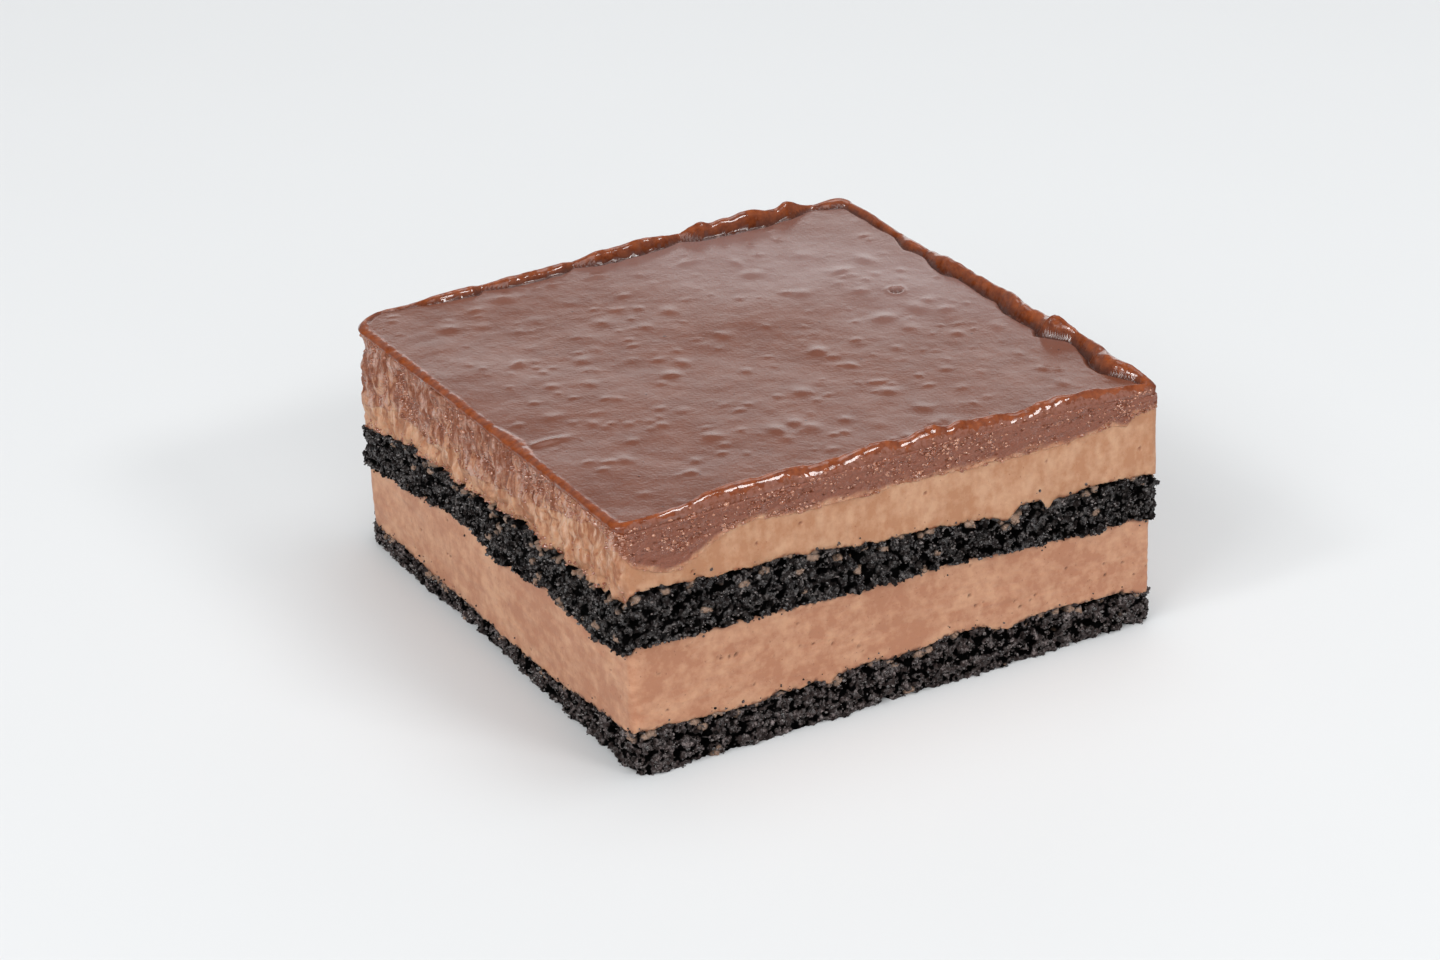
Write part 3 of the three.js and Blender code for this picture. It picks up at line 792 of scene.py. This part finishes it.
# Glaze: soft chocolate poured over the ganache while warm. It set with low lumps over the bubbles
# under it and one burst bubble, and a palette knife pushed its rim up into an uneven roll.
RIM_WIDTH = {
    "front": [(-38, 0.8), (-30, 1.2), (-24, 2.2), (-10, 2.4), (8, 2.7), (28, 2.4), (34, 1.8),
              (38, 0.9)],
    "right": [(-36, 1.6), (-33.5, 3.4), (-30, 3.2), (-26, 2.2), (-22, 1.4), (-20.5, 1.3),
              (-19, 2.2), (-17.5, 3.4), (-15, 2.6), (-10, 2.9), (-4, 2.2), (6, 1.9), (9, 2.7),
              (12, 2.4), (15, 1.5), (19, 2.2), (23, 1.3), (29, 1.4), (37, 1.4)],
    "back": [(-34, 0.5), (-27, 1.5), (-22, 1.9), (-20, 1), (-17, 1.9), (-8, 1.7), (-6, 0.9),
             (-3, 1.9), (8, 1.8), (11, 0.9), (14, 2), (28, 2.2), (33, 1.2), (36, 1.8)],
    "left": [(-37, 1.1), (-30, 0.8), (-20, 0.7), (-14, 0.9), (-10, 1.7), (-7, 1.5), (-3, 0.8),
             (12, 0.7), (20, 0.9), (36, 0.7)],
}
RIM_RISE = {
    "front": 0.55,
    "right": [(-36, 0.4), (-28, 0.52), (-23, 0.66), (-20, 0.9), (-17, 0.62), (6, 0.56), (15, 0.39),
              (24, 0.3), (33, 0.66)],
    "back": [(-36, 0.4), (-20, 0.5), (-11, 0.66), (-2, 0.82), (6, 1.0), (28, 0.98), (33, 0.36)],
    "left": 0.1,
}
RIM_WOBBLE = {"front": 0.28, "right": 0.3, "back": 0.3, "left": 0.3}
RIM_GROOVE = {"front": 0.05, "right": 0.34, "back": 0.36, "left": 0.0}
RIM_SHOULDER, DEEPEST_GROOVE = 0.35, 0.36
RIM_UNEVEN = [(0.1, 3.2, 51), (0.05, 1.2, 57)]
GLAZE_OUT = {"front": -0.15, "right": 0.3, "back": 0, "left": [(-30, 0.25), (0, 0.3), (36, 0.6)]}
SKIRT_DEPTH, SKIRT_TUCK, SKIRT_ROWS = 0.9, 0.3, 12
SKIRT_WANDER = [(1, 2.2, 59), (0.6, 0.8, 60)]
BACK_RISE, BACK_DIP = 1.35, 0.6
GLAZE_SWELL = [(0.12, 11, 53), (0.028, 3.2, 54), (0.013, 1.6, 55), (0.007, 0.9, 61)]
LUMPS = [(280, 0.35, 0.8, 0.15), (44, 0.8, 1.35, 0.145)]
BURST_BUBBLE = {"x": 26.6, "y": 6.7, "radius": 0.9, "depth": 0.9}
LONG_LUMP = {"x": -34.0, "y": -11.0, "long": 2.3, "wide": 0.75, "height": 0.36}
FINE_STEP, COARSE_STEP, FINE_BAND = 0.17, 0.3, 4.2
RED_BROWN, PALE_BROWN = (0.143, 0.0425, 0.0215, 1), (0.17, 0.056, 0.031, 1)
# The sheen grey is a painted reflection, laid on the flat more towards the back.
PAINTED_SHEEN_GREY, GROOVE_SHADE_BROWN = (0.22, 0.12, 0.103, 1), (0.04, 0.007, 0.002, 1)
DEEP_ORANGE, ORANGE = (0.145, 0.028, 0.006, 1), (0.26, 0.06, 0.014, 1)
PINHOLE_BROWN, RIM_BROWN = (0.04, 0.012, 0.008, 1), (0.15, 0.032, 0.01, 1)
BARE_DARK, BARE_MAUVE = (0.17, 0.048, 0.02, 1), (0.25, 0.098, 0.066, 1)


def graded_lines(length):
    """Grid lines over a length, from -1 to 1, closer together near both ends."""
    fine = np.arange(0, FINE_BAND, FINE_STEP)
    coarse = np.linspace(FINE_BAND, length - FINE_BAND, int((length - 2 * FINE_BAND) / COARSE_STEP))
    lines = np.concatenate([fine, coarse, length - fine[::-1]])
    return 2 * lines / length - 1


def low_lumps(x, y, draw):
    """Low round swellings of many sizes, strewn over the glaze."""
    total = np.zeros_like(x)
    for count, small, large, steepness in LUMPS:
        for _ in range(count):
            lump_x, lump_y = draw.uniform(-35, 35, 2)
            radius = draw.uniform(small, large)
            wide, long = radius * draw.uniform(0.75, 1.3, 2)
            height = steepness * radius * draw.uniform(0.1, 1.3)
            near = (np.abs(x - lump_x) < 3 * wide) & (np.abs(y - lump_y) < 3 * long)
            offset_x, offset_y = (x[near] - lump_x) / wide, (y[near] - lump_y) / long
            total[near] += height * np.exp(-(offset_x**2 + offset_y**2))
    return total


def rolled_rim(level, spots, scale):
    """How far across the rim each point is, the rim's height over the flat, and its groove."""
    width = on_faces(RIM_WIDTH, spots) * (1 + waves(level, RIM_UNEVEN))
    across = np.clip((1 - scale) * WIDTH / 2 / width, 0, 1.6)
    wobble = on_faces(RIM_WOBBLE, spots)
    roll = np.sin(np.pi * np.clip(across, 0, 1)) ** 0.8 * width * on_faces(RIM_RISE, spots)
    roll = roll * (1 + wobble * noise(level, 4.2, 52) + 0.4 * wobble * noise(level, 1.7, 58))
    pimples = 0.035 * noise(level, 0.75, 70) * ease(across, 0.0, 0.1) * (1 - ease(across, 0.7, 1))
    groove = np.exp(-(((across - 1.04) / 0.13) ** 2)) * on_faces(RIM_GROOVE, spots)
    edge = RIM_SHOULDER * np.clip(1 - across, 0, 1) ** 2
    return across, roll + pimples - groove - edge, groove


def poured_flat(x, y, level, across):
    """Height of the poured flat, and how deep in the burst bubble each point is, from 0 to 1."""
    rise = BACK_RISE * np.clip(x / WIDTH + y / DEPTH + 0.05, 0, 1) ** 1.3
    rise = rise - BACK_DIP * np.clip(y / DEPTH - x / WIDTH - 0.2, 0, 1)
    lengthways = (x - LONG_LUMP["x"]) / LONG_LUMP["long"]
    crossways = (y - LONG_LUMP["y"]) / LONG_LUMP["wide"]
    lumps = low_lumps(x, y, np.random.default_rng(56))
    lumps = lumps + LONG_LUMP["height"] * np.exp(-(lengthways**2) - crossways**2)
    from_bubble = np.hypot(x - BURST_BUBBLE["x"], y - BURST_BUBBLE["y"]) / BURST_BUBBLE["radius"]
    hollow = 1 - ease(from_bubble, 0.35, 1.0)
    lip = 0.12 * np.exp(-(((from_bubble - 1.3) / 0.3) ** 2))
    marked = lumps + lip - BURST_BUBBLE["depth"] * hollow
    height = HEIGHT + rise + waves(level, GLAZE_SWELL) + ease(across, 0.9, 1.5) * marked
    return height, hollow


def glaze_skirt(edge, edge_top):
    """Rings of points down the glaze's wall, from under its top edge, and in under its foot."""
    wander = waves(flat_points(*edge[:2]), SKIRT_WANDER)
    foot = on_faces(GANACHE_TOP, edge) - SKIRT_DEPTH
    rings = []
    for share in np.linspace(0, 1, SKIRT_ROWS)[1:]:
        height = edge_top[:, 2] + (foot - edge_top[:, 2]) * share
        stand = on_faces(GLAZE_OUT, edge) * (1 - share) + on_faces(GANACHE_OUT, edge) * share
        stand = stand - SKIRT_TUCK * share + 0.1 * share * wander
        rings.append(leaned(edge[0] + edge[2] * stand, edge[1] + edge[3] * stand, height))
    rings.append(leaned(edge[0] * INNER_RING, edge[1] * INNER_RING, foot))
    return rings


def glaze_body():
    """The glaze's points and faces: its top as a grid, its wall as rings. And its marks."""
    u, v = np.meshgrid(graded_lines(WIDTH), graded_lines(DEPTH))
    scale = np.maximum(np.abs(u), np.abs(v))
    safe = np.maximum(scale, 1e-9)
    spots = plan_spots(u / safe, v / safe)
    x, y = spots[0] * scale, spots[1] * scale
    level = flat_points(x, y)
    across, over_flat, groove = rolled_rim(level, spots, scale)
    flat, hollow = poured_flat(x, y, level, across)
    out = on_faces(GLAZE_OUT, spots) * np.clip(1 - across, 0, 1)
    top = leaned(x + spots[2] * out, y + spots[3] * out, flat + over_flat)

    index = np.arange(u.size).reshape(u.shape)
    border = np.concatenate([index[0, :-1], index[:-1, -1], index[-1, :0:-1], index[:0:-1, 0]])
    edge = spots.reshape(4, -1)[:, border]
    rings = glaze_skirt(edge, top.reshape(-1, 3)[border])
    points = np.concatenate([top.reshape(-1, 3), *rings, [[0, 0, rings[-1][:, 2].mean()]]])
    square = [index[:-1, :-1], index[:-1, 1:], index[1:, 1:], index[1:, :-1]]
    faces = np.stack([corner.ravel() for corner in square], -1).tolist()
    above = border
    for ring in range(len(rings)):
        below = index.size + ring * len(border) + np.arange(len(border))
        faces += band(below, above)
        above = below
    faces += fan(len(points) - 1, above)

    rim = 1 - ease(across + 0.12 * noise(level, 0.9, 62), 0.85, 1.1)
    front = np.maximum(0, -spots[3]) ** 4
    bare = front * (1 - ease(across + 0.08 * noise(level, 1.2, 63), 0.08, 0.24))
    # Painted reflection: a greyish sheen painted over the flat, growing towards the back, less at
    # the very back and none on the rim.
    to_back = x / WIDTH + y / DEPTH + 0.06 * noise(level, 9, 64)
    painted_sheen = ease(to_back, 0.05, 0.6) * (1 - 0.45 * ease(to_back, 0.62, 0.85)) * (1 - rim)
    # Painted shade: near black in the rim's groove and in the burst bubble's hollow.
    dark = np.clip(groove / DEEPEST_GROOVE + 0.8 * hollow, 0, 1)
    on_wall = np.zeros(len(points) - index.size)
    front_wall = np.append(np.tile(np.maximum(0, -edge[3]) ** 4, len(rings)), 0)
    return points, faces, {
        "rim": np.append(rim, on_wall + 1), "painted_sheen": np.append(painted_sheen, on_wall),
        "painted_groove_shade": np.append(dark, on_wall), "skirt": np.append(bare, front_wall),
    }


def glaze_flat_finish():
    """The poured surface: red brown, painted greyer towards the back as a painted reflection, under
    a soft gloss.
    """
    material, tree, shader = new_finish(
        "glaze", IOR=1.45, Subsurface_Weight=0.08, Subsurface_Scale=0.8 * MM,
        Subsurface_Radius=(1.0, 0.35, 0.2),
    )
    clouds = between(tree, spots_at(tree, 5, 4, 0.6), 0.35, 0.65)
    flat = blend(tree, clouds, RED_BROWN, PALE_BROWN)
    pinholes = between(tree, spots_at(tree, 0.8, 2, 0.5), 0.74, 0.77)
    flat = blend(tree, pinholes, flat, PINHOLE_BROWN)
    # Painted reflection: greyer towards the back.
    flat = blend(tree, mark_of(tree, "painted_sheen"), flat, PAINTED_SHEEN_GREY)
    flat = blend(tree, mark_of(tree, "rim"), flat, RIM_BROWN)
    # Painted shade in the rim's groove and the burst bubble.
    flat = blend(tree, mark_of(tree, "painted_groove_shade"), flat, GROOVE_SHADE_BROWN)
    satin = between(tree, spots_at(tree, 1.4, 4, 0.65), 0.3, 0.7, 0.18, 0.26)
    ripples = sum_of(tree, spots_at(tree, 1.2, 4, 0.6), spots_at(tree, 0.4, 2))
    ripples = bumped(tree, ripples, 0.08, 0.35)
    feed(tree, shader, Base_Color=flat, Roughness=satin, Normal=ripples)
    return material


def glaze_rim_finish():
    """The rolled rim: warm orange brown with painted shade in its groove, wet in patches, and bare
    ganache under its front lip.
    """
    material, tree, shader = new_finish(
        "glaze_rim", Roughness=0.4, IOR=1.45, Specular_IOR_Level=0.14, Coat_Roughness=0.05,
        Subsurface_Weight=0.08, Subsurface_Scale=0.8 * MM, Subsurface_Radius=(1.0, 0.35, 0.2),
    )
    streaks = between(tree, spots_at(tree, 1.1, 4, 0.6), 0.35, 0.65)
    warm = blend(tree, streaks, DEEP_ORANGE, ORANGE)
    # Painted shade in the rim's groove.
    warm = blend(tree, mark_of(tree, "painted_groove_shade"), warm, GROOVE_SHADE_BROWN)
    ragged = between(tree, spots_at(tree, 0.9, 4, 0.65, (1, 1, 0.4)), 0.35, 0.65, -0.45, 0.45)
    bare = between(tree, sum_of(tree, mark_of(tree, "skirt"), ragged), 0.4, 0.6)
    grit = between(tree, spots_at(tree, 0.5, 3, 0.65), 0.35, 0.55)
    mauve = blend(tree, grit, BARE_DARK, BARE_MAUVE)
    wet = between(tree, spots_at(tree, 2.8, 4, 0.65), 0.4, 0.48)
    ripples = sum_of(tree, spots_at(tree, 1.2, 4, 0.6), spots_at(tree, 0.4, 2))
    feed(
        tree, shader, Base_Color=blend(tree, bare, warm, mauve), Coat_Weight=wet,
        Normal=bumped(tree, ripples, 0.1, 0.5),
        Coat_Normal=bumped(tree, spots_at(tree, 1.5, 2), 0.12, 0.6),
    )
    return material


points, faces, marks = glaze_body()
glaze = add_piece("glaze_sheet", points, faces, marks)
glaze.data.materials.append(glaze_flat_finish())
glaze.data.materials.append(glaze_rim_finish())
on_rim = [int(sum(marks["rim"][corner] for corner in face) > 0.55 * len(face)) for face in faces]
glaze.data.polygons.foreach_set("material_index", on_rim)
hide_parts("glaze")
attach(glaze, "root")

# Wet flecks: the lower lips of burst bubbles, wet with syrup, which stand out of the cut ganache in
# level lines. They also glisten low on the smeared face, at the front corner and under the rim,
# and the moist sponge has its own dark ones.
FLECKS = {"front": 900, "left": 980, "corner": 130, "under rim": 220, "mousse": 260}
CRUMB_FLECKS = {(0, -1): 680, (-1, 0): 408, (1, 0): 306, (0, 1): 306}
FLECK_TILT, TILT_SPREAD = (0, -0.55, 0.85), 0.24
FLECK_SIZES, CRUMB_FLECK_SIZES = (0.24, 0.1, 0.55), (0.22, 0.1, 0.55)
FLECK_SHAPE = {"wide": (0.9, 1.7), "tall": (0.7, 1.1), "thick": (0.3, 0.5)}
TRIES = 60
BARE_ENOUGH, LIP_FOOT, LIP_FRONT, LOW_ROWS = 0.6, 31.2, -34.5, 5
WET_BROWN, WET_TAN = (0.24, 0.062, 0.022, 1), (0.4, 0.17, 0.1, 1)
WET_BLACK, WET_GREY = (0.012, 0.009, 0.008, 1), (0.09, 0.07, 0.064, 1)


def bead():
    """Points and faces of a small round drop of radius 1."""
    points, faces = icosahedron()
    points, split, middles = list(points), [], {}
    for face in faces.tolist():
        mids = []
        for i, j in zip(face, face[1:] + face[:1]):
            key = (min(i, j), max(i, j))
            if key not in middles:
                middle = points[i] + points[j]
                middles[key] = len(points)
                points.append(middle / np.linalg.norm(middle))
            mids.append(middles[key])
        split += [[face[0], mids[0], mids[2]], [face[1], mids[1], mids[0]]]
        split += [[face[2], mids[2], mids[1]], mids]
    return np.array(points), np.array(split)


def fleck_places(wall, likely, side, count, draw):
    """Places on a wall where it faces a side, by how likely each is, and the way out of it."""
    edge = plan_spots(*around(wall.shape[1] // 4))
    row = draw.integers(0, len(wall), TRIES * count)
    column = draw.integers(0, wall.shape[1], TRIES * count)
    facing = np.clip(edge[2:].T @ np.array(side), 0, 1)[column] ** 6
    chosen = draw.uniform(0, 1, TRIES * count) < facing * likely[row, column]
    chosen = np.flatnonzero(chosen)[:count]
    outward = flat_points(*edge[2:])
    return np.concatenate([wall[row[chosen], column[chosen]], outward[column[chosen]]], 1)


def wet_flecks(name, placed, sizes, draw, body):
    """Flat wet flecks on a face, each tilted up so that its wet side takes the light."""
    places, outward = placed[:, :3], placed[:, 3:]
    facing = outward + np.array(FLECK_TILT) + draw.normal(0, TILT_SPREAD, outward.shape)
    facing /= np.linalg.norm(facing, axis=1)[:, None]
    level = np.cross(facing, (0, 0, 1.0))
    level /= np.linalg.norm(level, axis=1)[:, None]
    halves = random_sizes(sizes, len(places), draw)[:, None] / 2
    wide, tall, thick = (halves * draw.uniform(*FLECK_SHAPE[way], (len(places), 1))
                         for way in ("wide", "tall", "thick"))
    turned = np.stack([level * wide, np.cross(level, facing) * tall, facing * thick], 1)
    points, faces = body
    return add_bodies(name, points @ turned + (places + outward * 0.05)[:, None], faces)


def fleck_finish(name, dark, light, roughness):
    """A wet fleck: two tones under a clear film of syrup, with a dimpled skin."""
    material, tree, shader = new_finish(
        name, Roughness=roughness, IOR=1.45, Coat_Weight=1.0, Coat_Roughness=0.05
    )
    tone = blend(tree, between(tree, spots_at(tree, 1.2, 3), 0.4, 0.6), dark, light)
    dimples = bumped(tree, spots_at(tree, 0.3, 2), 0.04, 0.4)
    feed(tree, shader, Base_Color=tone, Normal=dimples)
    return material


draw = np.random.default_rng(24)
wet = 0.04 + 0.96 * np.clip(1.1 - 1.7 * ganache_marks["ridge"], 0, 1)
low_on = np.exp(-np.arange(len(upper_wall))[:, None] / LOW_ROWS) + np.zeros(upper_wall.shape[:2])
in_front = (points[:, 2] > LIP_FOOT) & (points[:, 1] < LIP_FRONT)
skirt = np.flatnonzero((marks["skirt"] > BARE_ENOUGH) & in_front)
rim_places = points[draw.choice(skirt, FLECKS["under rim"], replace=False)]
placed = np.concatenate([
    fleck_places(ganache_wall, wet, (0, -1), FLECKS["front"], draw),
    fleck_places(ganache_wall, wet, (-1, 0), FLECKS["left"], draw),
    fleck_places(ganache_wall, wet, (-0.707, -0.707), FLECKS["corner"], draw),
    fleck_places(upper_wall, low_on, (-1, 0), FLECKS["mousse"], draw),
    np.concatenate([rim_places, 0 * rim_places + (0, -1, 0)], 1),
])
flecks = wet_flecks("ganache_wet_flecks", placed, FLECK_SIZES, draw, bead())
flecks.data.materials.append(fleck_finish("wet_fleck", WET_BROWN, WET_TAN, 0.14))
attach(flecks, "root")

for sheet, (wall, openness), slot in (
    ("bottom", bottom_wall, "bottom_sponge"), ("middle", middle_wall, "middle_sponge")
):
    placed = np.concatenate([
        fleck_places(wall, 1 - openness, side, count, draw)
        for side, count in CRUMB_FLECKS.items()
    ])
    flecks = wet_flecks(
        f"sponge_{sheet}_wet_flecks", placed, CRUMB_FLECK_SIZES, draw, icosahedron()
    )
    flecks.data.materials.append(fleck_finish(f"{sheet}_wet_fleck", WET_BLACK, WET_GREY, 0.22))
    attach(flecks, "root")

# Surroundings: a pale seamless floor, wide soft panels of light at the front, left, right and back,
# two small lamps for the glints, a white room, and the camera at three-quarter height on the left.
FLOOR_COLOUR, FLOOR_CLOUD = (0.69, 0.698, 0.704, 1), (0.7, 0.708, 0.714, 1)
FLOOR_SIZE = 4.0
corners = np.array([(-1, -1, 0), (1, -1, 0), (1, 1, 0), (-1, 1, 0)]) * FLOOR_SIZE / 2
floor = add_piece("floor", corners / MM, [(0, 1, 2, 3)])
material, tree, shader = new_finish("floor_paper", Roughness=0.9)
feed(tree, shader, Base_Color=blend(tree, spots_at(tree, 60, 2), FLOOR_COLOUR, FLOOR_CLOUD))
floor.data.materials.append(material)


def soft_panel(name, azimuth, elevation, distance, wide, high, watts, roll=0):
    """A panel of light that faces the cake from an azimuth and an elevation, turned by its roll."""
    lamp = bpy.data.lights.new(name, "AREA")
    lamp.shape = "RECTANGLE"
    lamp.size, lamp.size_y = wide, high
    lamp.energy = watts
    stand = bpy.data.objects.new(name, lamp)
    turn, up = np.radians(azimuth), np.radians(elevation)
    stand.location = distance * np.array([
        np.sin(turn) * np.cos(up), -np.cos(turn) * np.cos(up), np.sin(up),
    ])
    aim = Matrix.Rotation(turn, 3, "Z") @ Matrix.Rotation(np.pi / 2 - up, 3, "X")
    stand.rotation_euler = (aim @ Matrix.Rotation(np.radians(roll), 3, "Z")).to_euler()
    bpy.context.collection.objects.link(stand)


soft_panel("wide_front_panel", -35, 32, 2.2, 3.0, 1.2, 23.2)
soft_panel("front_right_lamp", 27, 36, 1.3, 0.4, 0.19, 4.2)
soft_panel("left_panel", -75, 40, 2.2, 1.0, 1.0, 13.3)
soft_panel("left_lamp", -89, 42, 1.2, 0.18, 0.18, 1.9)
soft_panel("right_panel", 75, 66, 1.1, 0.5, 0.5, 2.0)
soft_panel("low_back_panel", 148, 13.6, 2.0, 1.4, 0.89, 4.9, roll=-14)
soft_panel("high_back_panel", 149, 72, 1.9, 1.3, 1.3, 9.5)

ROOM_COLOUR, ROOM_LIGHT, ROOM_SEEN = (0.94, 0.975, 1.0, 1), 0.3, 0.85
world = bpy.data.worlds.new("white_room")
bpy.context.scene.world = world
world.use_nodes = True
room = world.node_tree.nodes["Background"]
room.inputs["Color"].default_value = ROOM_COLOUR
seen = add_node(world.node_tree, "LightPath").outputs["Is Camera Ray"]
strength = between(world.node_tree, seen, 0.0, 1.0, ROOM_LIGHT, ROOM_SEEN)
world.node_tree.links.new(strength, room.inputs["Strength"])

CAMERA_PLACE = (-183.8, -299.73, 185.06)
CAMERA_AZIMUTH, CAMERA_ELEVATION = -30.88, 25.95
lens = bpy.data.cameras.new("camera")
lens.lens = 75
lens.sensor_width = 36
lens.clip_start = 0.01
camera = bpy.data.objects.new("camera", lens)
camera.location = np.array(CAMERA_PLACE) * MM
camera.rotation_euler = np.radians([90 - CAMERA_ELEVATION, 0, CAMERA_AZIMUTH])
bpy.context.collection.objects.link(camera)
bpy.context.scene.camera = camera
bpy.context.scene.view_settings.view_transform = "Standard"
